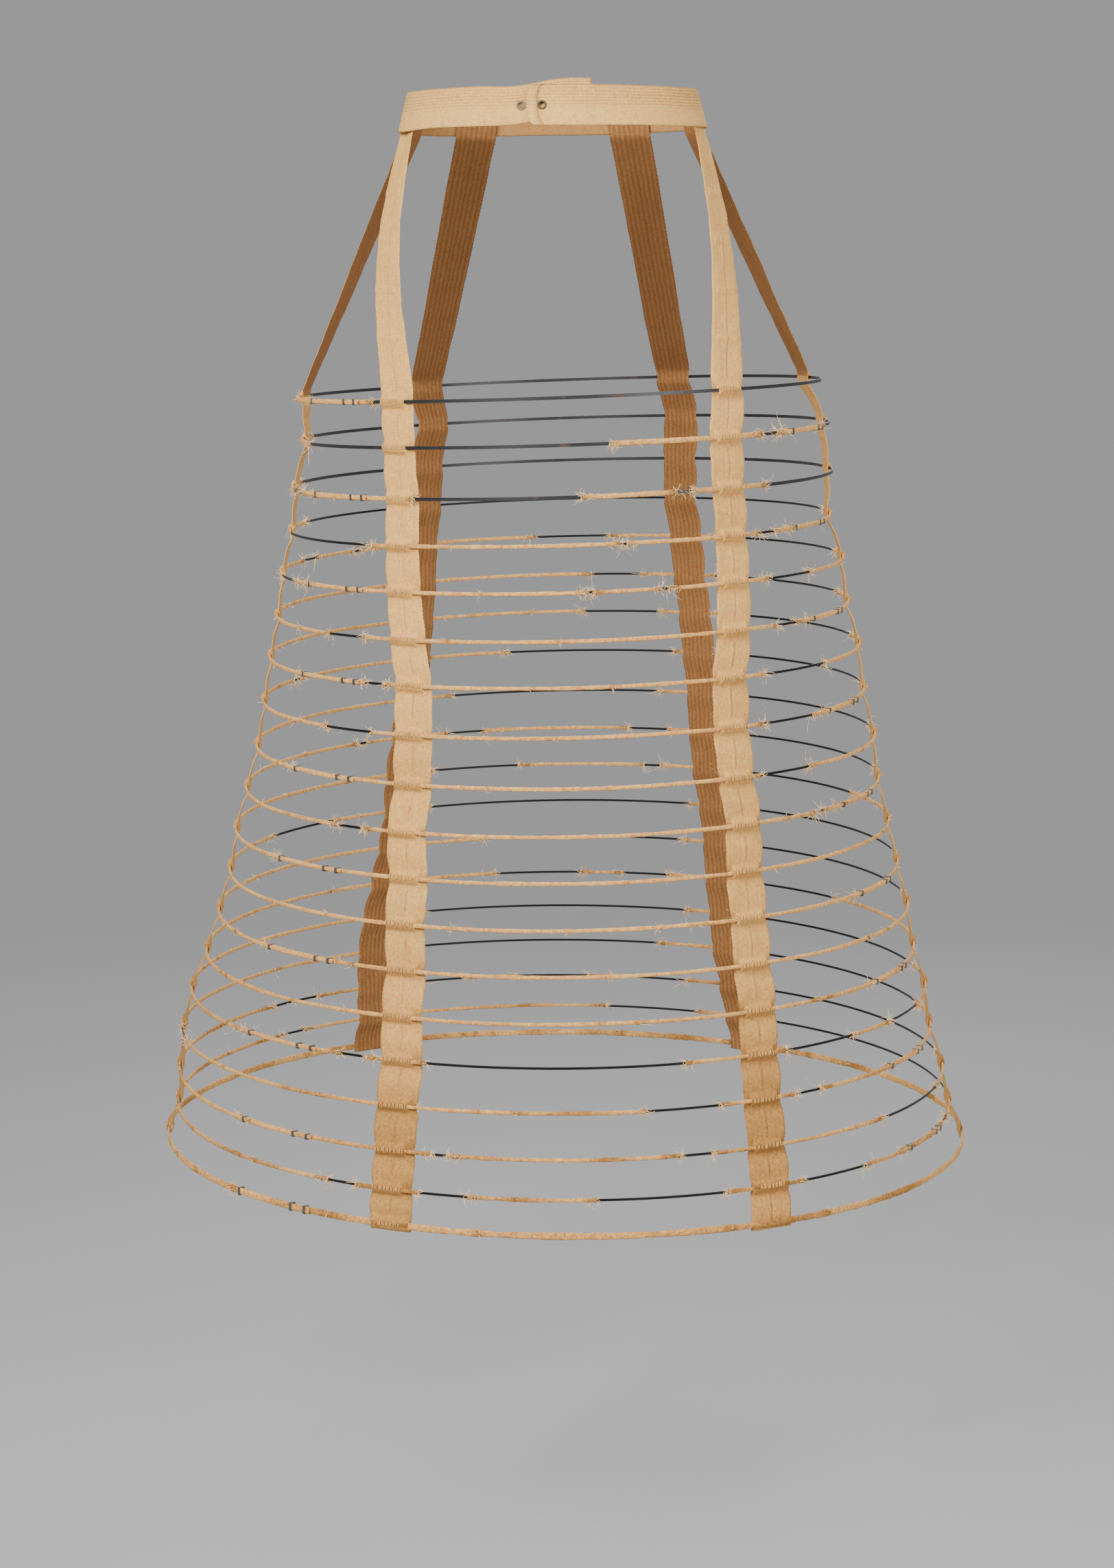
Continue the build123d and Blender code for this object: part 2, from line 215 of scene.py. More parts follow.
class Cloth:
    """Points and faces of one piece, gathered before its mesh is made."""

    def __init__(self):
        self.points, self.faces, self.uvs, self.wear, self.finishes = [], [], [], [], []
        self.count = 0

    def add(self, points, faces, uvs, wear, finish=0):
        """Add points (n, 3), faces that count from the first of them, and values for each point."""
        points = np.asarray(points, float).reshape(-1, 3)
        self.points.append(points)
        self.faces += [tuple(int(i) + self.count for i in face) for face in faces]
        self.finishes += [finish] * len(faces)
        self.uvs.append(np.asarray(uvs, float).reshape(-1, 2))
        self.wear.append(np.broadcast_to(np.asarray(wear, float), (len(points), 3)))
        self.count += len(points)

    def piece(self, name, materials, replaces, around=False):
        """Make the object, and let it stand for the frame's solid; around says its weave goes round tubes."""
        mesh = bpy.data.meshes.new(name)
        points = np.concatenate(self.points)
        mesh.from_pydata(points.tolist(), [], self.faces)
        mesh.polygons.foreach_set("material_index", self.finishes)
        corners = np.zeros(len(mesh.loops), np.int32)
        mesh.loops.foreach_get("vertex_index", corners)
        spots = np.concatenate(self.uvs)[corners]
        if around:
            starts = np.concatenate([[0], np.cumsum([len(face) for face in self.faces])[:-1]])
            counts = np.diff(np.append(starts, len(corners)))
            highest = np.repeat(np.maximum.reduceat(spots[:, 1], starts), counts)
            quads = np.repeat(counts == 4, counts)
            spots[quads & (highest - spots[:, 1] > 0.5), 1] += 1.0
        layer = mesh.uv_layers.new(name="UVMap")
        layer.data.foreach_set("uv", spots.astype(np.float32).ravel())
        # The wear attribute: red is real stain and wear, green marks inner faces that get painted shade, blue marks
        # creases, grooves, gathers and the hem line that get painted shade.
        tint = mesh.color_attributes.new("wear", "FLOAT_COLOR", "POINT")
        four = np.ones((len(points), 4), np.float32)
        four[:, :3] = np.concatenate(self.wear)
        tint.data.foreach_set("color", four.ravel())
        shell = bmesh.new()
        shell.from_mesh(mesh)
        bmesh.ops.recalc_face_normals(shell, faces=shell.faces[:])
        shell.to_mesh(mesh)
        shell.free()
        mesh.shade_smooth()
        for material in materials:
            mesh.materials.append(material)
        made = bpy.data.objects.new(name, mesh)
        bpy.context.scene.collection.objects.link(made)
        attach(made, "root")
        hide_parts(replaces)
        return made


def grid_faces(rows, columns, closed=False):
    """Faces of a grid of points, stored row by row; closed joins the last column to the first."""
    wide = columns if closed else columns - 1
    faces = []
    for row in range(rows - 1):
        for column in range(wide):
            after = (column + 1) % columns
            a, b = row * columns + column, row * columns + after
            faces.append((a, b, b + columns, a + columns))
    return faces


def tube_faces(rows, columns):
    """Faces of a tube of rings, closed at both ends."""
    last = (rows - 1) * columns
    ends = [tuple(range(columns))[::-1], tuple(range(last, last + columns))]
    return grid_faces(rows, columns, closed=True) + ends


def rim_faces(rows, columns, gap):
    """Faces that join the rims of two grids, the second gap points after the first."""
    faces = []
    for row in range(rows - 1):
        a, b = row * columns, (row + 1) * columns
        faces.append((b, b + gap, a + gap, a))
        c, d = a + columns - 1, b + columns - 1
        faces.append((c, c + gap, d + gap, d))
    last = (rows - 1) * columns
    for column in range(columns - 1):
        faces.append((column, column + gap, column + 1 + gap, column + 1))
        a = last + column
        faces.append((a + 1, a + 1 + gap, a + gap, a))
    return faces


def chain_between(loop, first, last):
    if last >= first:
        return loop[first : last + 1]
    return loop[first:] + loop[: last + 1]


def resampled(line, count):
    """A polyline's points at equal distances."""
    line = np.array([tuple(p) for p in line])
    run = np.concatenate([[0], np.cumsum(np.linalg.norm(np.diff(line, axis=0), axis=1))])
    at = np.linspace(0, run[-1], count)
    return np.stack([np.interp(at, run, line[:, k]) for k in range(3)], 1), run[-1]


def level_strips(node, facing, narrowest):
    """The two long edges of each level face of a node's strips that faces up (1) or down (-1)."""
    shell = bmesh.new()
    shell.from_mesh(nodes[node].data)
    bmesh.ops.remove_doubles(shell, verts=shell.verts[:], dist=2e-6)
    left = {face for face in shell.faces if face.normal.z * facing > 0.9}
    strips = []
    while left:
        patch, fresh = set(), [left.pop()]
        while fresh:
            face = fresh.pop()
            patch.add(face)
            for edge in face.edges:
                for other in edge.link_faces:
                    if other in left:
                        left.remove(other)
                        fresh.append(other)
        rim = {}
        for face in patch:
            for edge in face.edges:
                if sum(other in patch for other in edge.link_faces) == 1:
                    for vert in edge.verts:
                        rim.setdefault(vert, []).append(edge.other_vert(vert))
        start = min(rim, key=lambda vert: vert.index)
        loop, before = [start], None
        while True:
            onward = [vert for vert in rim[loop[-1]] if vert is not before]
            before = loop[-1]
            if onward[0] is start and len(loop) > 2:
                break
            loop.append(onward[0])
            if len(loop) > len(rim):
                break
        places = [vert.co.copy() for vert in loop]
        count = len(places)
        corners = []
        for k in range(count):
            ahead, behind = places[(k + 1) % count] - places[k], places[k] - places[k - 1]
            if ahead.angle(behind, 0.0) > 0.9:
                corners.append(k)
        if len(corners) != 4:
            continue
        sides = [chain_between(places, corners[k], corners[(k + 1) % 4]) for k in range(4)]
        lengths = [sum((b - a).length for a, b in zip(side, side[1:])) for side in sides]
        first = 0 if lengths[0] > lengths[1] else 1
        if lengths[1 - first] < narrowest:
            continue
        strips.append((sides[first], sides[first + 2][::-1]))
    shell.free()
    return strips


def middle_line(strip, count):
    outer, length = resampled(strip[0], count)
    inner, other = resampled(strip[1], count)
    return (outer + inner) / 2, (length + other) / 2


def stretch_lines(node, step, narrowest):
    """The middle line and height of each strip in a node, in rings a step apart."""
    uppers = level_strips(node, 1, narrowest)
    lowers = level_strips(node, -1, narrowest)
    lines = []
    for upper in uppers:
        top, length = middle_line(upper, 2)
        count = max(4, int(length / step))
        top, length = middle_line(upper, count)
        best = None
        for lower in lowers:
            bottom, other = middle_line(lower, count)
            for candidate in (bottom, bottom[::-1]):
                distance = np.abs(candidate - top).sum(axis=1).mean()
                if best is None or distance < best[0]:
                    best = (distance, candidate)
        height = np.linalg.norm(top - best[1], axis=1).mean()
        lines.append(((top + best[1]) / 2, length, height))
    return lines


def add_thread(cloth, start, direction, length, radius, rng):
    """A loose thread that curls away and droops."""
    count = 8
    step = length / (count - 1)
    path, heading = [np.array(start, float)], np.array(direction, float)
    curl = rng.normal(0, 0.35, 3)
    for _ in range(count - 1):
        curl += rng.normal(0, 0.25, 3)
        heading = heading + curl * 0.6 - UP * 0.10
        heading /= np.linalg.norm(heading)
        path.append(path[-1] + heading * step)
    path = np.array(path)
    along = unit(np.gradient(path, axis=0))
    side = unit(np.cross(along, UP + 0.01))
    rise = np.cross(side, along)
    taper = radius * (1 - 0.6 * np.linspace(0, 1, count))[:, None]
    ring = []
    for angle in (0.0, 2.1, 4.2):
        ring.append(path + (side * math.cos(angle) + rise * math.sin(angle)) * taper)
    points = np.stack(ring, 1)
    uvs = np.zeros((count * 3, 2))
    uvs[:, 0] = np.repeat(np.linspace(0, length, count), 3)
    cloth.add(points, tube_faces(count, 3), uvs, (0, 0, 0), finish=1)


def cover_profile(sides, width, height):
    """Points round a flattened oval section, out from the hoop's middle and up."""
    turn = np.linspace(0, 2 * math.pi, sides, endpoint=False)
    c, s = np.cos(turn), np.sin(turn)
    return np.sign(c) * np.abs(c) ** 0.7 * width / 2, np.sign(s) * np.abs(s) ** 0.7 * height / 2


def clip_places():
    """All points of the splice clips: a cover that ends under one isn't frayed."""
    places = []
    for name in nodes:
        if name.startswith("splice_clips"):
            places += [tuple(vert.co) for vert in nodes[name].data.vertices]
    return np.array(places)


def add_cover_stretch(cloth, line, length, height, width, seed, sizes, clips):
    """One length of woven cover round a hoop, with soft, frayed ends."""
    count = len(line)
    step = length / (count - 1)
    along = unit(np.gradient(line, axis=0))
    away = unit(np.cross(along, UP))
    if np.mean(np.sum(away * (line - np.array(centre_of_hoops(line))), axis=1)) < 0:
        away = -away
    rise = np.cross(away, along)
    rise *= np.sign(rise[:, 2:])
    out, high = cover_profile(sizes.cover_sides, width, height)
    slow = noise_along(count, step, 22 * MM, seed)
    quick = noise_along(count, step, 5 * MM, seed + 1)
    swell = 1 + sizes.lumpiness * (0.5 * slow + 0.8 * quick)
    run = np.linspace(0, length, count)
    free = [np.linalg.norm(clips - line[end], axis=1).min() > 5 * MM for end in (0, -1)]
    from_free = np.minimum(run if free[0] else length, length - run if free[1] else length)
    swell *= 1 + 0.16 * (1 - eased(from_free / (5 * MM)))
    droop = noise_along(count, step, 60 * MM, seed + 2) * 0.25 * MM
    rings = line[:, None, :] + away[:, None, :] * (out * swell[:, None])[..., None]
    rings = rings + rise[:, None, :] * ((high * swell[:, None]) + droop[:, None])[..., None]
    uvs = np.zeros((count, sizes.cover_sides, 2))
    uvs[..., 0] = run[:, None]
    uvs[..., 1] = np.arange(sizes.cover_sides) / sizes.cover_sides
    stain = 0.75 * (1 - eased(from_free / (16 * MM))) + 0.22 * (noise_along(count, step, 45 * MM, seed + 3) + 0.4)
    rng = np.random.default_rng(seed + 7)
    tears = rng.integers(1, count - 1, int(length / (95 * MM)))
    for tear in tears:
        stain = stain + 0.6 * np.exp(-(((run - run[tear]) / (5 * MM)) ** 2))
    near_hem = eased((-line[:, 2] - 0.60) / 0.22)
    stain = stain + near_hem * (0.45 + 0.4 * noise_along(count, step, 30 * MM, seed + 4))
    wear = np.zeros((count, sizes.cover_sides, 3))
    wear[..., 0] = np.clip(stain, 0, 1)[:, None]
    cloth.add(rings, tube_faces(count, sizes.cover_sides), uvs, wear.reshape(-1, 3))
    if not sizes.loose_threads:
        return
    bunches = [(tear, rng.choice((-1, 1)), rng.integers(3, 9), 4.0, 6.0) for tear in tears]
    for end, outwards, loose in ((0, -1, free[0]), (count - 1, 1, free[1])):
        if loose:
            bunches.append((end, outwards, rng.integers(22, 44), rng.uniform(4, 16), 9.0))
    for start, outwards, many, frayed, longest in bunches:
        reach = max(1, min(count // 2, int(frayed * MM / step)))
        for _ in range(int(many)):
            at = int(np.clip(start - outwards * int(reach * rng.uniform() ** 2), 0, count - 1))
            turn = rng.uniform(0, 2 * math.pi)
            offset = away[at] * math.cos(turn) * width * 0.45 + rise[at] * math.sin(turn) * height * 0.45
            heading = along[at] * outwards * rng.uniform(0.6, 1.8) + offset / height * rng.uniform(0.1, 1.5)
            span = rng.uniform(3.0, longest) * MM * (2.2 if rng.uniform() > 0.97 else 1.0)
            add_thread(cloth, line[at] + offset, heading, span, sizes.thread_radius, rng)


def centre_of_hoops(line):
    """The middle of the frame's hoops, level with a line."""
    low, high = cad_box
    return ((low.x + high.x) / 2, (low.y + high.y) / 2, line[:, 2].mean())


def simple_material(name, colour, roughness, metallic=0.0):
    """A material with its shader and its node tree, to which nodes are added."""
    material = bpy.data.materials.new(name)
    material.use_nodes = True
    tree = material.node_tree
    shader = tree.nodes["Principled BSDF"]
    shader.inputs["Base Color"].default_value = (*colour, 1)
    shader.inputs["Roughness"].default_value = roughness
    shader.inputs["Metallic"].default_value = metallic
    return material, tree, shader


def add_node(tree, kind, **values):
    node = tree.nodes.new(kind)
    for name, value in values.items():
        if name in node.bl_rna.properties:
            setattr(node, name, value)
        else:
            node.inputs[name.replace("_", " ")].default_value = value
    return node


def mixed_colour(tree, factor, first, second, blend="MIX"):
    """A node that mixes two colours; each may be a socket or a colour."""
    node = tree.nodes.new("ShaderNodeMix")
    node.data_type = "RGBA"
    node.blend_type = blend
    for socket, value in ((node.inputs[0], factor), (node.inputs[6], first), (node.inputs[7], second)):
        if isinstance(value, bpy.types.NodeSocket):
            tree.links.new(value, socket)
        elif isinstance(value, float):
            socket.default_value = value
        else:
            socket.default_value = (*value, 1)
    return node.outputs[2]


def ramped(tree, value, low, high):
    """A value spread so that low becomes 0 and high becomes 1."""
    node = add_node(tree, "ShaderNodeMapRange")
    node.inputs["From Min"].default_value = low
    node.inputs["From Max"].default_value = high
    tree.links.new(value, node.inputs["Value"])
    return node.outputs["Result"]


def striped(tree, colour, place, width, inward):
    """Soft lengthwise rows in a woven colour, one every width, faint on the outer face and strong inside."""
    rows = add_node(tree, "ShaderNodeTexWave", bands_direction="X", Scale=math.pi / 10 / width, Distortion=2.0)
    rows.inputs["Detail"].default_value = 2.0
    rows.inputs["Detail Scale"].default_value = 1.4
    tree.links.new(place.outputs["UV"], rows.inputs["Vector"])
    shade = mixed_colour(tree, rows.outputs["Fac"], (0.72, 0.70, 0.68), (1.0, 1.0, 1.0))
    shade = mixed_colour(tree, ramped(tree, inward, -0.2, 1.0), (1.0, 1.0, 1.0), shade)
    return mixed_colour(tree, 1.0, colour, shade, "MULTIPLY")


def thread_material(name, colour, stain):
    """Loose cotton thread, some of it browner."""
    material, tree, shader = simple_material(name, colour, 0.9)
    objects = add_node(tree, "ShaderNodeTexCoord")
    noise = add_node(tree, "ShaderNodeTexNoise", Scale=140.0, Detail=3.0)
    tree.links.new(objects.outputs["Object"], noise.inputs["Vector"])
    worn = ramped(tree, noise.outputs["Fac"], 0.48, 0.85)
    tree.links.new(mixed_colour(tree, worn, colour, stain), shader.inputs["Base Color"])
    return material


def woven_material(name, colour, stain, weave, depth, slant, patches, grain, stripe=0.0):
    """Cotton that reads its weave from the piece's own texture map, and its wear and painted shade from the mesh."""
    material, tree, shader = simple_material(name, colour, 0.92)
    shader.inputs["Specular IOR Level"].default_value = 0.15
    place = add_node(tree, "ShaderNodeUVMap", uv_map="UVMap")
    turned = add_node(tree, "ShaderNodeMapping")
    turned.inputs["Scale"].default_value = (weave[0], weave[1], 1)
    turned.inputs["Rotation"].default_value = (0, 0, slant)
    tree.links.new(place.outputs["UV"], turned.inputs["Vector"])
    warp = add_node(tree, "ShaderNodeTexWave", bands_direction="X", Scale=1.0, Distortion=0.6)
    weft = add_node(tree, "ShaderNodeTexWave", bands_direction="Y", Scale=1.0, Distortion=0.6)
    for wave in (warp, weft):
        wave.inputs["Detail"].default_value = 1.0
        tree.links.new(turned.outputs["Vector"], wave.inputs["Vector"])
    cloth = tree.nodes.new("ShaderNodeMath")
    cloth.operation = "ADD"
    tree.links.new(warp.outputs["Fac"], cloth.inputs[0])
    tree.links.new(weft.outputs["Fac"], cloth.inputs[1])
    objects = add_node(tree, "ShaderNodeTexCoord")
    blotch = add_node(tree, "ShaderNodeTexNoise", Scale=patches, Detail=5.0, Roughness=0.62)
    fine = add_node(tree, "ShaderNodeTexNoise", Scale=420.0, Detail=3.0, Roughness=0.6)
    specks = add_node(tree, "ShaderNodeTexNoise", Scale=900.0, Detail=2.0)
    for noise in (blotch, fine, specks):
        tree.links.new(objects.outputs["Object"], noise.inputs["Vector"])
    wear = add_node(tree, "ShaderNodeVertexColor", layer_name="wear")
    parts = tree.nodes.new("ShaderNodeSeparateColor")
    tree.links.new(wear.outputs["Color"], parts.inputs["Color"])
    aged = ramped(tree, blotch.outputs["Fac"], 0.42, 0.78)
    half = tree.nodes.new("ShaderNodeMath")
    half.operation = "MULTIPLY_ADD"
    half.inputs[1].default_value = 0.42
    tree.links.new(aged, half.inputs[0])
    tree.links.new(parts.outputs["Red"], half.inputs[2])
    half.use_clamp = True
    tanned = tuple(0.55 * a + 0.45 * b for a, b in zip(colour, stain))
    base = mixed_colour(tree, half.outputs[0], colour, tanned)
    base = mixed_colour(tree, ramped(tree, parts.outputs["Red"], 0.55, 1.2), base, stain)
    uneven = ramped(tree, fine.outputs["Fac"], 0.25, 0.75)
    threads = mixed_colour(tree, grain, base, uneven, "OVERLAY")
    lines = ramped(tree, cloth.outputs[0], 0.2, 1.4)
    shaded = mixed_colour(tree, lines, (0.70, 0.66, 0.62), (1.0, 1.0, 1.0))
    threads = mixed_colour(tree, 1.0, threads, shaded, "MULTIPLY")
    if stripe:
        threads = striped(tree, threads, place, stripe, parts.outputs["Green"])
    dark = ramped(tree, specks.outputs["Fac"], 0.68, 0.73)
    threads = mixed_colour(tree, dark, threads, tuple(0.35 * value for value in stain))
    # Painted shade: faces marked in the green channel, the inner faces of the tapes and the waistband, are darkened
    # towards a dull brown.
    inner = mixed_colour(tree, parts.outputs["Green"], (1.0, 1.0, 1.0), (0.46, 0.38, 0.42))
    threads = mixed_colour(tree, 1.0, threads, inner, "MULTIPLY")
    # Painted shade: creases, grooves, gathers, chain troughs and the hem line, marked in the blue channel, are
    # darkened towards brown.
    crease_shade = mixed_colour(tree, parts.outputs["Blue"], (1.0, 1.0, 1.0), (0.42, 0.34, 0.26))
    threads = mixed_colour(tree, 1.0, threads, crease_shade, "MULTIPLY")
    tree.links.new(threads, shader.inputs["Base Color"])
    bump = add_node(tree, "ShaderNodeBump", Strength=0.7, Distance=depth)
    tree.links.new(cloth.outputs[0], bump.inputs["Height"])
    rough = add_node(tree, "ShaderNodeBump", Strength=0.5, Distance=depth)
    tree.links.new(fine.outputs["Fac"], rough.inputs["Height"])
    tree.links.new(bump.outputs["Normal"], rough.inputs["Normal"])
    tree.links.new(rough.outputs["Normal"], shader.inputs["Normal"])
    return material


def steel_material(name, colour, rust, roughness, rusted):
    """Spring steel with patches of rust."""
    material, tree, shader = simple_material(name, colour, roughness, 0.85)
    objects = add_node(tree, "ShaderNodeTexCoord")
    patch = add_node(tree, "ShaderNodeTexNoise", Scale=38.0, Detail=6.0, Roughness=0.7)
    grain = add_node(tree, "ShaderNodeTexNoise", Scale=700.0, Detail=3.0)
    for noise in (patch, grain):
        tree.links.new(objects.outputs["Object"], noise.inputs["Vector"])
    worn = ramped(tree, patch.outputs["Fac"], 0.70 - rusted, 0.82 - rusted / 2)
    base = mixed_colour(tree, worn, colour, rust)
    grit = ramped(tree, grain.outputs["Fac"], 0.3, 0.7)
    base = mixed_colour(tree, 0.3, base, mixed_colour(tree, grit, (0.35, 0.35, 0.35), (0.75, 0.75, 0.75)), "OVERLAY")
    tree.links.new(base, shader.inputs["Base Color"])
    tree.links.new(ramped(tree, worn, -0.9, 1.2), shader.inputs["Roughness"])
    bump = add_node(tree, "ShaderNodeBump", Strength=0.25, Distance=0.1 * MM)
    tree.links.new(grain.outputs["Fac"], bump.inputs["Height"])
    tree.links.new(bump.outputs["Normal"], shader.inputs["Normal"])
    return material


def finish_node(name, material):
    """Give a frame node that stays its finish."""
    for slot in nodes[name].material_slots:
        slot.material = material


class CAGE_OT_hoops(Operator):
    """Finish the spring steel of every hoop, bright at the hips and dark below."""

    bl_idname = "cage.hoops"
    bl_label = "Hoop steel"

    def execute(self, context):
        colours = context.scene.cage_colours
        rust = (0.20, 0.09, 0.04)
        hip = steel_material("hip_steel_strip", colours.hip_steel, rust, 0.38, 0.10)
        skirt = steel_material("skirt_steel_strip", colours.skirt_steel, rust, 0.45, 0.02)
        slots = {part["node"]: part["material_slot"] for part in frame["record"]["subparts"]}
        for hoop in HOOP_NAMES:
            name = hoop + "_steel"
            finish_node(name, hip if slots.get(name) == "hip_steel" else skirt)
        return {"FINISHED"}


class CAGE_OT_fittings(Operator):
    """Finish the splice clips and the eyelets."""

    bl_idname = "cage.fittings"
    bl_label = "Clips and eyelets"

    def execute(self, context):
        clip = steel_material("clip_zinc", (0.15, 0.152, 0.155), (0.08, 0.05, 0.03), 0.5, 0.06)
        eyelet = steel_material("eyelet_metal", (0.055, 0.048, 0.028), (0.03, 0.025, 0.012), 0.55, 0.12)
        for name in nodes:
            if name.startswith("splice_clips"):
                finish_node(name, clip)
            if name.endswith("_eyelet"):
                finish_node(name, eyelet)
        return {"FINISHED"}


class CAGE_OT_covers(Operator):
    """Weave the cotton cover round every hoop, with its worn and frayed ends."""

    bl_idname = "cage.covers"
    bl_label = "Hoop covers"

    def execute(self, context):
        sizes, colours = context.scene.cage_cloth, context.scene.cage_colours
        cotton = woven_material(
            "cover_cotton", colours.cover, colours.stain, (370.0, 3.554), 0.12 * MM, math.pi / 4, 26.0, 0.6
        )
        loose = thread_material("loose_cotton", colours.thread, colours.stain)
        clips = clip_places()
        for index, hoop in enumerate(HOOP_NAMES):
            name = hoop + "_cover"
            cloth = Cloth()
            for k, (line, length, height) in enumerate(stretch_lines(name, sizes.cover_step, 1.2 * MM)):
                add_cover_stretch(cloth, line, length, height, 2.0 * MM, 1000 * index + 20 * k, sizes, clips)
            cloth.piece(hoop + "_woven_cover", (cotton, loose), name, around=True)
        return {"FINISHED"}


def tape_rows(name, step):
    """Level cuts through a tape: its inner face's middle, width direction, outward direction and thickness."""
    mesh = nodes[name].data
    places = np.zeros(len(mesh.vertices) * 3, np.float32)
    mesh.vertices.foreach_get("co", places)
    places = places.reshape(-1, 3).astype(float)
    ends = np.zeros(len(mesh.edges) * 2, np.int32)
    mesh.edges.foreach_get("vertices", ends)
    first, last = places[ends[0::2]], places[ends[1::2]]
    low, high = places[:, 2].min(), places[:, 2].max()
    levels = np.arange(high - 0.6 * MM, low + 0.6 * MM, -step)
    centre = np.array(centre_of_hoops(places))
    rows = []
    for level in levels:
        above, below = first[:, 2] - level, last[:, 2] - level
        cut = above * below < 0
        part = (above[cut] / (above[cut] - below[cut]))[:, None]
        spots = (first[cut] + (last[cut] - first[cut]) * part)[:, :2]
        middle = spots.mean(axis=0)
        _, _, axes = np.linalg.svd(spots - middle, full_matrices=False)
        heading = axes[0]
        for _ in range(2):
            outward = np.array([heading[1], -heading[0]])
            if outward @ (middle - centre[:2]) < 0:
                heading, outward = -heading, -outward
            depth = spots @ outward
            inner = spots[depth < depth.min() + 0.35 * MM]
            along = inner @ heading
            span = inner[along.argmax()] - inner[along.argmin()]
            if np.linalg.norm(span) > 20 * MM:
                heading = span / np.linalg.norm(span) * np.sign(span @ heading)
        outward = np.array([heading[1], -heading[0]])
        along, depth = spots @ heading, spots @ outward
        width = along.max() - along.min()
        mid = (along.max() + along.min()) / 2
        thick = depth.max() - depth.min()
        spot = heading * mid + outward * depth.min()
        rows.append([spot[0], spot[1], level, heading[0], heading[1], width, thick])
    return np.array(rows)


def hoop_rows(thick, step):
    """The rows of a tape at which it passes a hoop: the middles of its thick stretches."""
    deep = thick > 2.4 * MM
    rows, start = [], None
    for row, here in enumerate(deep):
        if here and start is None:
            start = row
        if not here and start is not None:
            rows.append((start + row - 1) // 2)
            start = None
    if start is not None:
        rows.append((start + len(deep) - 1) // 2)
    return rows


POCKET_SPANS = {
    "front_right_tape": (-0.46, 0.27),
    "front_left_tape": (-0.35, 0.36),
    "side_right_tape": (-0.36, 0.36),
    "side_left_tape": (-0.36, 0.36),
    "back_right_tape": (-0.36, 0.36),
    "back_left_tape": (-0.36, 0.36),
}
SPARE_SLOTS = (-66 * MM, -103 * MM, -142 * MM, -180 * MM)


def add_stitch(cloth, middle, along, outward, length, radius):
    """A small tight stitch: a bead stretched along the thread."""
    turn = np.linspace(0, 2 * math.pi, 6, endpoint=False)
    side = np.cross(along, outward)
    rings = []
    for at, size in ((-0.5, 0.35), (-0.25, 1.0), (0.25, 1.0), (0.5, 0.35)):
        ring = middle + along * length * at
        spokes = np.cos(turn)[:, None] * side + np.sin(turn)[:, None] * outward
        rings.append(ring + spokes * radius * size)
    uvs = np.zeros((24, 2))
    cloth.add(np.stack(rings), tube_faces(4, 6), uvs, (0, 0, 0), finish=1)


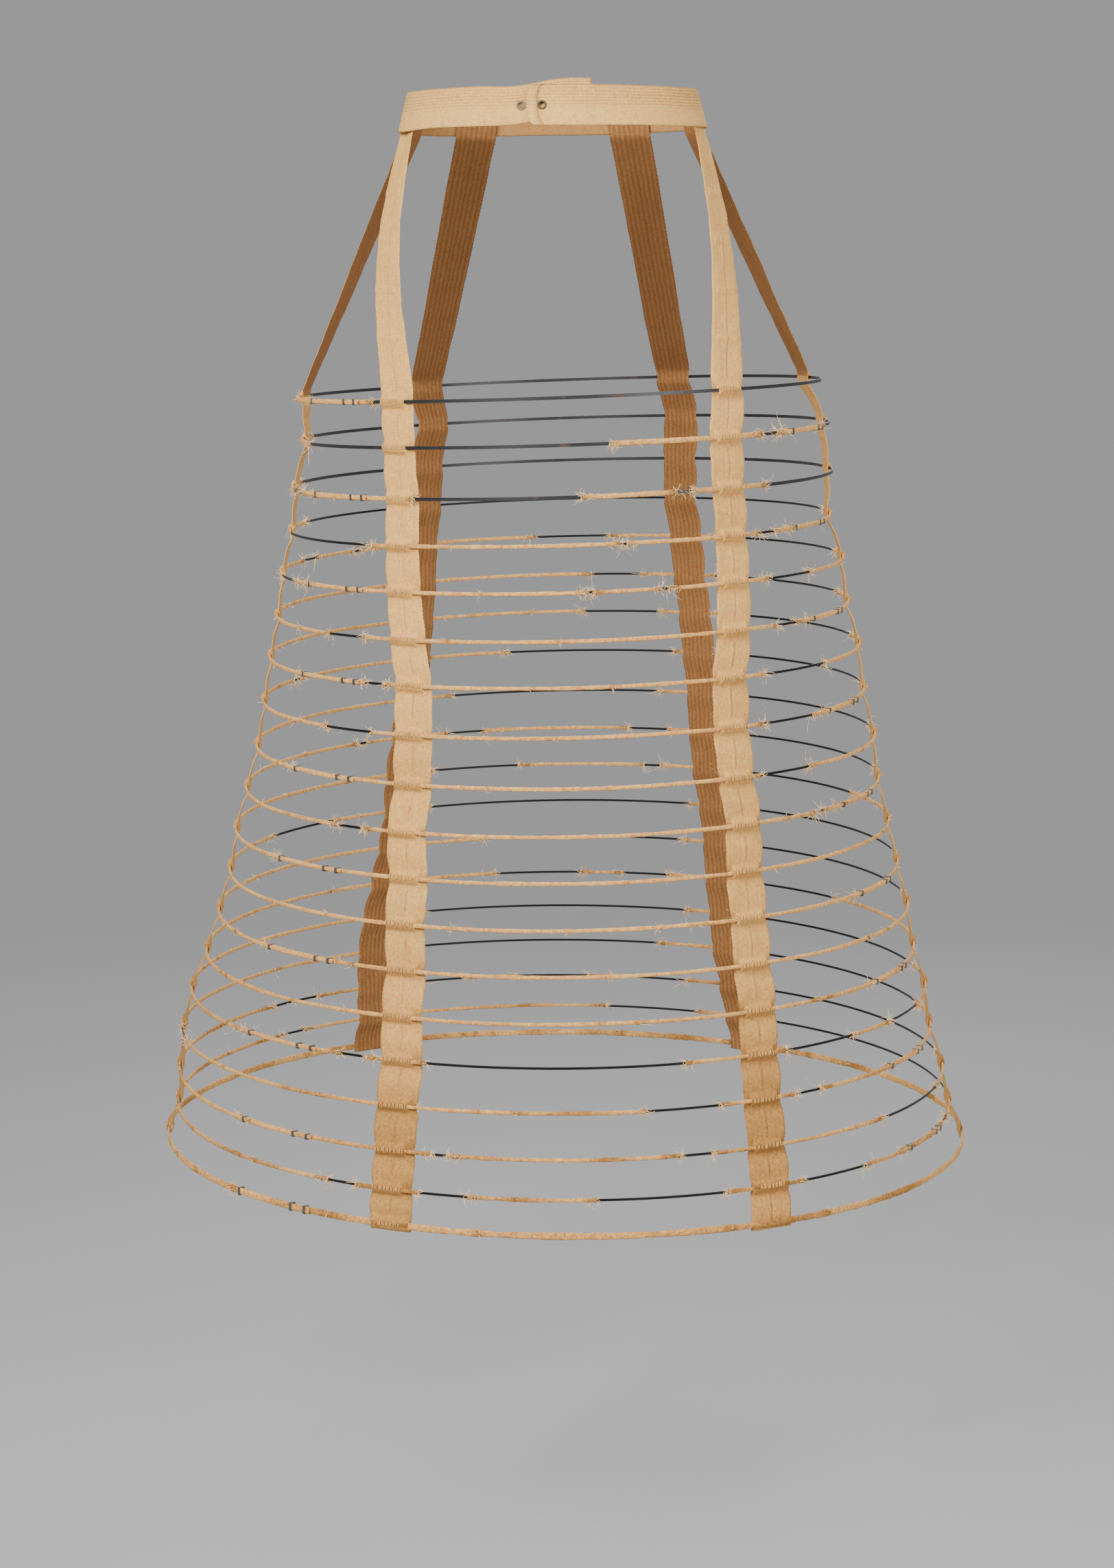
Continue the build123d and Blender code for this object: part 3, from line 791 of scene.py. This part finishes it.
def add_tape_cloth(cloth, name, sizes, seed):
    """A woven tape: one layer between the hoops, and a second one over each."""
    rows = tape_rows(name, sizes.tape_step)
    step = sizes.tape_step
    passes = hoop_rows(rows[:, 6], step)
    middle = softened(rows[:, :3], 3)
    heading = unit(softened(rows[:, 3:5], 5))
    thick = softened(rows[:, 6], 2)
    count, columns = len(rows), sizes.tape_columns + 1
    heading = np.concatenate([heading, np.zeros((count, 1))], 1)
    outward = np.stack([heading[:, 1], -heading[:, 0], np.zeros(count)], 1)
    plain = np.full(count, sizes.tape_thickness)
    run = np.arange(count) * step
    near = np.min(np.abs(run[:, None] - run[passes][None, :]), axis=1)
    narrow = sizes.tape_waist * (np.exp(-((near / (6 * MM)) ** 2)) * 1.6 - 0.5)
    width = np.median(rows[:, 5]) - narrow + 0.35 * MM * noise_along(count, step, 17 * MM, seed)
    sway = 0.5 * MM * noise_along(count, step, 40 * MM, seed + 1)
    across = np.linspace(-0.5, 0.5, columns)
    first, last = POCKET_SPANS[name]
    hem = run > run[passes[-1]] - 9 * MM
    inside = eased((across[None, :] - first) / 0.03 + 1) * eased((last - across[None, :]) / 0.03 + 1)
    inside = np.where(hem[:, None], 1.0, inside)
    pocket = np.clip(thick - 1.3 * MM, 0, None)[:, None] * inside
    tooth = sizes.selvedge * np.where(np.arange(count) % 3 == 0, 1.0, -0.4)
    edge = np.clip((np.abs(across) - 0.44) / 0.06, 0, 1)
    reach = across[None, :] * (width[:, None] + 2 * tooth[:, None] * edge[None, :]) + sway[:, None]
    crease = 0.35 * MM * noise_along(count, step, 28 * MM, seed + 2)[:, None] * np.sin(across * 7 + seed)[None, :]
    crease += 0.22 * MM * noise_along(count, step, 9 * MM, seed + 3)[:, None] * np.cos(across * 12)[None, :]
    crease *= eased(near / (12 * MM))[:, None]
    between = eased((near - 5 * MM) / (6 * MM))[:, None]
    ridge = 0.03 * noise_along(count, step, 30 * MM, seed + 8)[:, None] - 0.04
    fold = np.exp(-(((across[None, :] - ridge) / 0.035) ** 2)) - np.exp(-(((across[None, :] - ridge - 0.07) / 0.03) ** 2))
    slub = 0.55 * MM * fold * between * (0.75 + 0.35 * noise_along(count, step, 50 * MM, seed + 9)[:, None])
    spare = np.zeros(count)
    if name.startswith("front"):
        for level in SPARE_SLOTS:
            spare += 0.9 * MM * np.exp(-(((rows[:, 2] - level) / (3.2 * MM)) ** 2))
    spare = spare[:, None] * inside
    rim = 1 - 0.55 * np.clip((np.abs(across) - 0.46) / 0.04, 0, 1)[None, :]
    outer_depth = (plain[:, None] + pocket + spare + slub) * rim + crease
    inner_depth = plain[:, None] * (1 - rim) * 0.5 + crease
    base = middle[:, None, :] + heading[:, None, :] * reach[..., None]
    outer = base + outward[:, None, :] * outer_depth[..., None]
    inner = base + outward[:, None, :] * inner_depth[..., None]
    uvs = np.zeros((count, columns, 2))
    travel = np.concatenate([[0], np.cumsum(np.linalg.norm(np.diff(middle, axis=0), axis=1))])
    uvs[..., 0] = reach
    uvs[..., 1] = travel[:, None]
    stain = 0.32 * np.exp(-((near / (7 * MM)) ** 2))[:, None] * (1 - 0.5 * inside)
    stain = stain + 0.10 * edge[None, :] + 0.12 * (noise_along(count, step, 70 * MM, seed + 5) + 0.3)[:, None]
    stain = stain + 0.8 * eased((run / run[-1] - 0.35) / 0.7)[:, None]
    wear = np.zeros((count, columns, 3))
    wear[..., 0] = np.clip(stain, 0, 1)
    # Painted shade: a thin dark line in the groove beside the fold, and a dark band where each hoop gathers the
    # tape.
    groove_shade = np.exp(-(((across[None, :] - ridge - 0.05) / 0.014) ** 2)) * between
    gather_shade = np.exp(-((near[:, None] / (1.9 * MM)) ** 4)) * inside
    wear[..., 2] = np.clip(0.5 * groove_shade + 0.6 * gather_shade, 0, 1)
    points = np.concatenate([outer.reshape(-1, 3), inner.reshape(-1, 3)])
    back = wear.copy()
    back[..., 0] *= 0.35
    # Painted shade on the inner face: it is darkened, on the side tapes fully above the top hoop and at 0.35 below
    # it, and it keeps a little of the groove's painted shade.
    back[..., 1] = np.where(rows[:, 2] > rows[passes[0], 2], 1.0, 0.35)[:, None] if "side" in name else 1.0
    back[..., 2] = 0.25 * groove_shade
    gap = count * columns
    faces = [face[::-1] for face in grid_faces(count, columns)]
    faces += [tuple(i + gap for i in face[::-1]) for face in faces]
    faces += [face[::-1] for face in rim_faces(count, columns, gap)]
    both = np.concatenate([wear.reshape(-1, 3), back.reshape(-1, 3)])
    cloth.add(points, faces, np.concatenate([uvs.reshape(-1, 2)] * 2), both)
    rng = np.random.default_rng(seed + 6)
    for row in passes:
        above, below = max(row - 2, 0), min(row + 2, count - 1)
        for u in np.arange(first + 0.03, last - 0.02, 0.045):
            column = int(round((u + 0.5) * (columns - 1)))
            along = unit(outer[below, column] - outer[above, column] + heading[row] * rng.normal(0, 0.4) * MM)
            spot = outer[row, column] + outward[row] * 0.1 * MM
            add_stitch(cloth, spot, along, outward[row], rng.uniform(3.2, 4.8) * MM, 0.33 * MM)
    if name.startswith("front"):
        for level in SPARE_SLOTS:
            for offset in (-4, 4):
                at = int(np.abs(rows[:, 2] - level).argmin()) + offset
                for u in np.arange(first + 0.03, last - 0.02, 0.05):
                    column = int(round((u + 0.5) * (columns - 1)))
                    add_stitch(cloth, outer[at, column], heading[at], outward[at], 1.4 * MM, 0.2 * MM)
    return travel[-1], width.mean()


class CAGE_OT_tapes(Operator):
    """Weave the six tapes, with a pocket over each hoop."""

    bl_idname = "cage.tapes"
    bl_label = "Tapes"

    def execute(self, context):
        sizes, colours = context.scene.cage_cloth, context.scene.cage_colours
        cotton = woven_material(
            "tape_cotton", colours.tape, colours.stain, (330.0, 420.0), 0.2 * MM, 0.0, 17.0, 0.3, 4.6 * MM
        )
        sewing = thread_material("tape_sewing", tuple(0.8 * value for value in colours.tape), colours.stain)
        for index, name in enumerate(TAPE_NAMES):
            cloth = Cloth()
            length, width = add_tape_cloth(cloth, name, sizes, 50 + 10 * index)
            tape = cloth.piece(name.replace("_tape", "_woven_tape"), (cotton, sewing), name)
        return {"FINISHED"}


class CAGE_OT_waistband(Operator):
    """Weave the waistband, with its ends hemmed and lapped, and cut the eyelets' holes."""

    bl_idname = "cage.waistband"
    bl_label = "Waistband"

    def execute(self, context):
        sizes, colours = context.scene.cage_cloth, context.scene.cage_colours
        cotton = woven_material(
            "band_cotton", colours.band, colours.stain, (500.0, 420.0), 0.2 * MM, 0.0, 14.0, 0.3
        )
        sewing = thread_material("band_sewing", tuple(0.45 * value for value in colours.thread), colours.stain)
        upper = max(level_strips("waistband", 1, 1.0 * MM), key=lambda strip: len(strip[0]))
        lower = max(level_strips("waistband", -1, 1.0 * MM), key=lambda strip: len(strip[0]))
        count = int(middle_line(upper, len(upper[0]))[1] / sizes.band_step)
        length = middle_line(upper, count)[1]
        low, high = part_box("waistband")
        centre = np.array([(low.x + high.x) / 2, (low.y + high.y) / 2, 0])
        edges = []
        for strip in (upper, lower):
            sides = [resampled(side, count)[0] for side in strip]
            sides = [side if side[0][0] < side[-1][0] else side[::-1] for side in sides]
            sides.sort(key=lambda side: -np.linalg.norm((side - centre)[count // 2, :2]))
            edges.append(sides)
        tops, bottoms = edges
        run = np.linspace(0, length, count)
        rows = 53
        rise = np.linspace(0, 1, rows)
        from_outer = run
        from_under = length - run
        wave = noise_along(count, sizes.band_step, 34 * MM, 5) * 0.028
        foot = noise_along(count, sizes.band_step, 45 * MM, 6) * 0.02
        lift = 0.18 * eased((70 * MM - from_under) / (60 * MM))
        level = rise[None, :] * (1 + wave - foot)[:, None] + (foot + lift)[:, None]
        rounded = np.clip((np.abs(rise - 0.5) - 0.08) / 0.42, 0, 1)
        curve = 7 * MM * (1 - np.sqrt(1 - rounded**2))
        hem = sizes.band_hem
        folded = 1.2 * MM * (1 - eased((from_outer - hem) / (1.2 * MM)))
        folded_under = 0.5 * MM * (1 - eased((from_under - hem) / (1.2 * MM)))
        chain = np.sin(rise * 26 * math.pi)[None, :] * eased((rise - 0.42) / 0.06)[None, :]
        chain = chain * (0.7 + 0.3 * np.cos(np.arange(count) * 2.1))[:, None]
        ridge = 0.25 * MM * chain
        ripple = 0.35 * MM * noise_along(count, sizes.band_step, 26 * MM, 8)[:, None]
        ripple = ripple * np.sin(rise * math.pi)[None, :]
        rim = np.clip(np.minimum(rise, 1 - rise) / 0.03, 0.35, 1)[None, :]
        along_band = run[:, None] + curve[None, :] * np.clip(1 - run / (40 * MM), 0, 1)[:, None]
        sheets = []
        for k in range(2):
            low_edge, high_edge = (
                np.stack([np.interp(along_band, run, edge[:, axis]) for axis in range(3)], 2)
                for edge in (bottoms[k], tops[k])
            )
            sheets.append(low_edge + (high_edge - low_edge) * level[..., None])
        across = unit(sheets[0] - sheets[1])
        middle = (sheets[0] + sheets[1]) / 2
        half = 0.65 * MM * rim
        outer = middle + across * (half + ridge + ripple * 0.3 + folded[:, None] + folded_under[:, None] * 0.4)[..., None]
        inner = middle - across * (half - ripple * 0.3)[..., None]
        uvs = np.zeros((count, rows, 2))
        uvs[..., 0] = run[:, None]
        uvs[..., 1] = rise[None, :] * 31.5 * MM
        wear = np.zeros((count, rows, 3))
        fold = 0.45 * np.exp(-(((from_outer - hem) / (1.2 * MM)) ** 2)) + 0.35 * (from_outer < 1.5 * MM)
        rims = np.exp(-((np.minimum(rise, 1 - rise) / 0.025) ** 2))[None, :]
        wear[..., 0] = np.clip(0.16 * eased((rise - 0.4) / 0.3)[None, :] + 0.5 * rims + fold[:, None], 0, 1)
        # Painted shade: dark lines in the troughs between the chain ridges and along the hem's stitch line.
        hem_line_shade = np.exp(-(((from_outer - hem - 0.6 * MM) / (0.9 * MM)) ** 2))[:, None]
        wear[..., 2] = np.clip(0.7 * np.clip(-chain, 0, 1) + 0.6 * hem_line_shade, 0, 1)
        back = wear.copy()
        # Painted shade: the waistband's inner face is darkened through the green channel.
        back[..., 1] = 0.7
        cloth = Cloth()
        gap = count * rows
        faces = grid_faces(count, rows)
        faces += [tuple(i + gap for i in face[::-1]) for face in faces]
        faces += rim_faces(count, rows, gap)
        points = np.concatenate([outer.reshape(-1, 3), inner.reshape(-1, 3)])
        both = np.concatenate([wear.reshape(-1, 3), back.reshape(-1, 3)])
        cloth.add(points, faces, np.concatenate([uvs.reshape(-1, 2)] * 2), both)
        row = int(hem / sizes.band_step)
        for k in range(2, rows - 2, 4):
            along = unit(outer[row, k + 1] - outer[row, k - 1])
            spot = outer[row - 1, k] + across[row, k] * 0.08 * MM
            add_stitch(cloth, spot, along, across[row, k], 1.7 * MM, 0.22 * MM)
        band = cloth.piece("woven_waistband", (cotton, sewing), "waistband")
        for name, depth in (("outer_eyelet", 2.8 * MM), ("inner_eyelet", 5 * MM)):
            corner_low, corner_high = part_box(name)
            spot = (corner_low + corner_high) / 2
            away = Vector((spot.x * 0.65, spot.y, 0)).normalized() + Vector((0, 0, 0.25))
            for item in bpy.context.selected_objects:
                item.select_set(False)
            bpy.ops.mesh.primitive_cylinder_add(vertices=24, radius=2.9 * MM, depth=depth, location=spot)
            punch = context.object
            punch.rotation_mode = "QUATERNION"
            punch.rotation_quaternion = away.to_track_quat("Z", "Y")
            cut = band.modifiers.new("eyelet_hole", "BOOLEAN")
            cut.operation = "DIFFERENCE"
            cut.solver = "EXACT"
            cut.object = punch
            context.view_layer.objects.active = band
            bpy.ops.object.modifier_apply(modifier=cut.name)
            bpy.data.objects.remove(punch)
        return {"FINISHED"}


class CAGE_OT_stage(Operator):
    """Set the floor, the soft lights and the camera."""

    bl_idname = "cage.stage"
    bl_label = "Stage"

    def execute(self, context):
        floor_level = -1.15
        for item in bpy.context.selected_objects:
            item.select_set(False)
        air_colour, air_strength = (0.56, 0.56, 0.57), 0.62
        bpy.ops.mesh.primitive_circle_add(vertices=96, radius=60, fill_type="NGON", location=(0, 0, floor_level))
        floor = context.object
        floor.name = "studio_floor"
        bpy.ops.object.transform_apply(location=True, rotation=False, scale=False)
        paper, tree, shader = simple_material("pale_floor", (0.38, 0.38, 0.39), 0.9)
        objects = add_node(tree, "ShaderNodeTexCoord")
        flat = add_node(tree, "ShaderNodeMapping")
        flat.inputs["Scale"].default_value = (1, 1, 0)
        tree.links.new(objects.outputs["Object"], flat.inputs["Vector"])
        distance = add_node(tree, "ShaderNodeVectorMath", operation="LENGTH")
        tree.links.new(flat.outputs["Vector"], distance.inputs[0])
        haze = add_node(tree, "ShaderNodeEmission")
        haze.inputs["Color"].default_value = (*air_colour, 1)
        haze.inputs["Strength"].default_value = air_strength
        blend = add_node(tree, "ShaderNodeMixShader")
        tree.links.new(ramped(tree, distance.outputs["Value"], 0.3, 3.2), blend.inputs[0])
        tree.links.new(shader.outputs["BSDF"], blend.inputs[1])
        tree.links.new(haze.outputs["Emission"], blend.inputs[2])
        tree.links.new(blend.outputs["Shader"], tree.nodes["Material Output"].inputs["Surface"])
        floor.data.materials.append(paper)
        world = context.scene.world or bpy.data.worlds.new("studio_air")
        context.scene.world = world
        world.use_nodes = True
        air = world.node_tree.nodes["Background"]
        air.inputs["Color"].default_value = (*air_colour, 1)
        air.inputs["Strength"].default_value = air_strength
        lamps = (
            ("key_light", (-1.6, -2.6, 1.5), 1.5, 205.0),
            ("fill_light", (2.3, -1.9, 0.5), 2.0, 74.0),
            ("rim_light", (0.8, 2.6, 1.4), 1.6, 70.0),
        )
        for name, place, size, power in lamps:
            bpy.ops.object.light_add(type="AREA", location=place)
            lamp = context.object
            lamp.name = name
            lamp.data.size = size
            lamp.data.energy = power
            toward = Vector((0, 0.05, -0.45)) - Vector(place)
            lamp.rotation_euler = toward.to_track_quat("-Z", "Y").to_euler()
        focal_pixels, image_height = 5500.0, 2286.0
        pitch = math.radians(7.44)
        bpy.ops.object.camera_add(location=(3.6 * MM, -3.08, -0.144))
        camera = context.object
        camera.rotation_euler = (math.pi / 2 - pitch, 0, 0)
        camera.data.sensor_width = 36.0
        camera.data.lens = 36.0 * focal_pixels / image_height
        camera.data.clip_end = 40.0
        context.scene.camera = camera
        return {"FINISHED"}


class CAGE_PT_panel(Panel):
    """The cage's pieces, in the order in which they are made."""

    bl_idname = "CAGE_PT_panel"
    bl_label = "Crinoline cage"
    bl_space_type = "VIEW_3D"
    bl_region_type = "UI"
    bl_category = "Crinoline"

    def draw(self, context):
        column = self.layout.column()
        for step in STEPS:
            column.operator(step.bl_idname)
        for group in (context.scene.cage_cloth, context.scene.cage_colours):
            for name in group.bl_rna.properties.keys():
                if name not in ("rna_type", "name"):
                    column.prop(group, name)


STEPS = (CAGE_OT_hoops, CAGE_OT_fittings, CAGE_OT_covers, CAGE_OT_waistband, CAGE_OT_tapes, CAGE_OT_stage)
CLASSES = (CageCloth, CageColours, *STEPS, CAGE_PT_panel)


def register():
    for item in CLASSES:
        bpy.utils.register_class(item)
    bpy.types.Scene.cage_cloth = PointerProperty(type=CageCloth)
    bpy.types.Scene.cage_colours = PointerProperty(type=CageColours)


def unregister():
    del bpy.types.Scene.cage_cloth
    del bpy.types.Scene.cage_colours
    for item in reversed(CLASSES):
        bpy.utils.unregister_class(item)


def main():
    register()
    bpy.ops.cage.hoops()
    bpy.ops.cage.fittings()
    bpy.ops.cage.covers()
    bpy.ops.cage.waistband()
    bpy.ops.cage.tapes()
    bpy.ops.cage.stage()


if __name__ == "__main__":
    main()
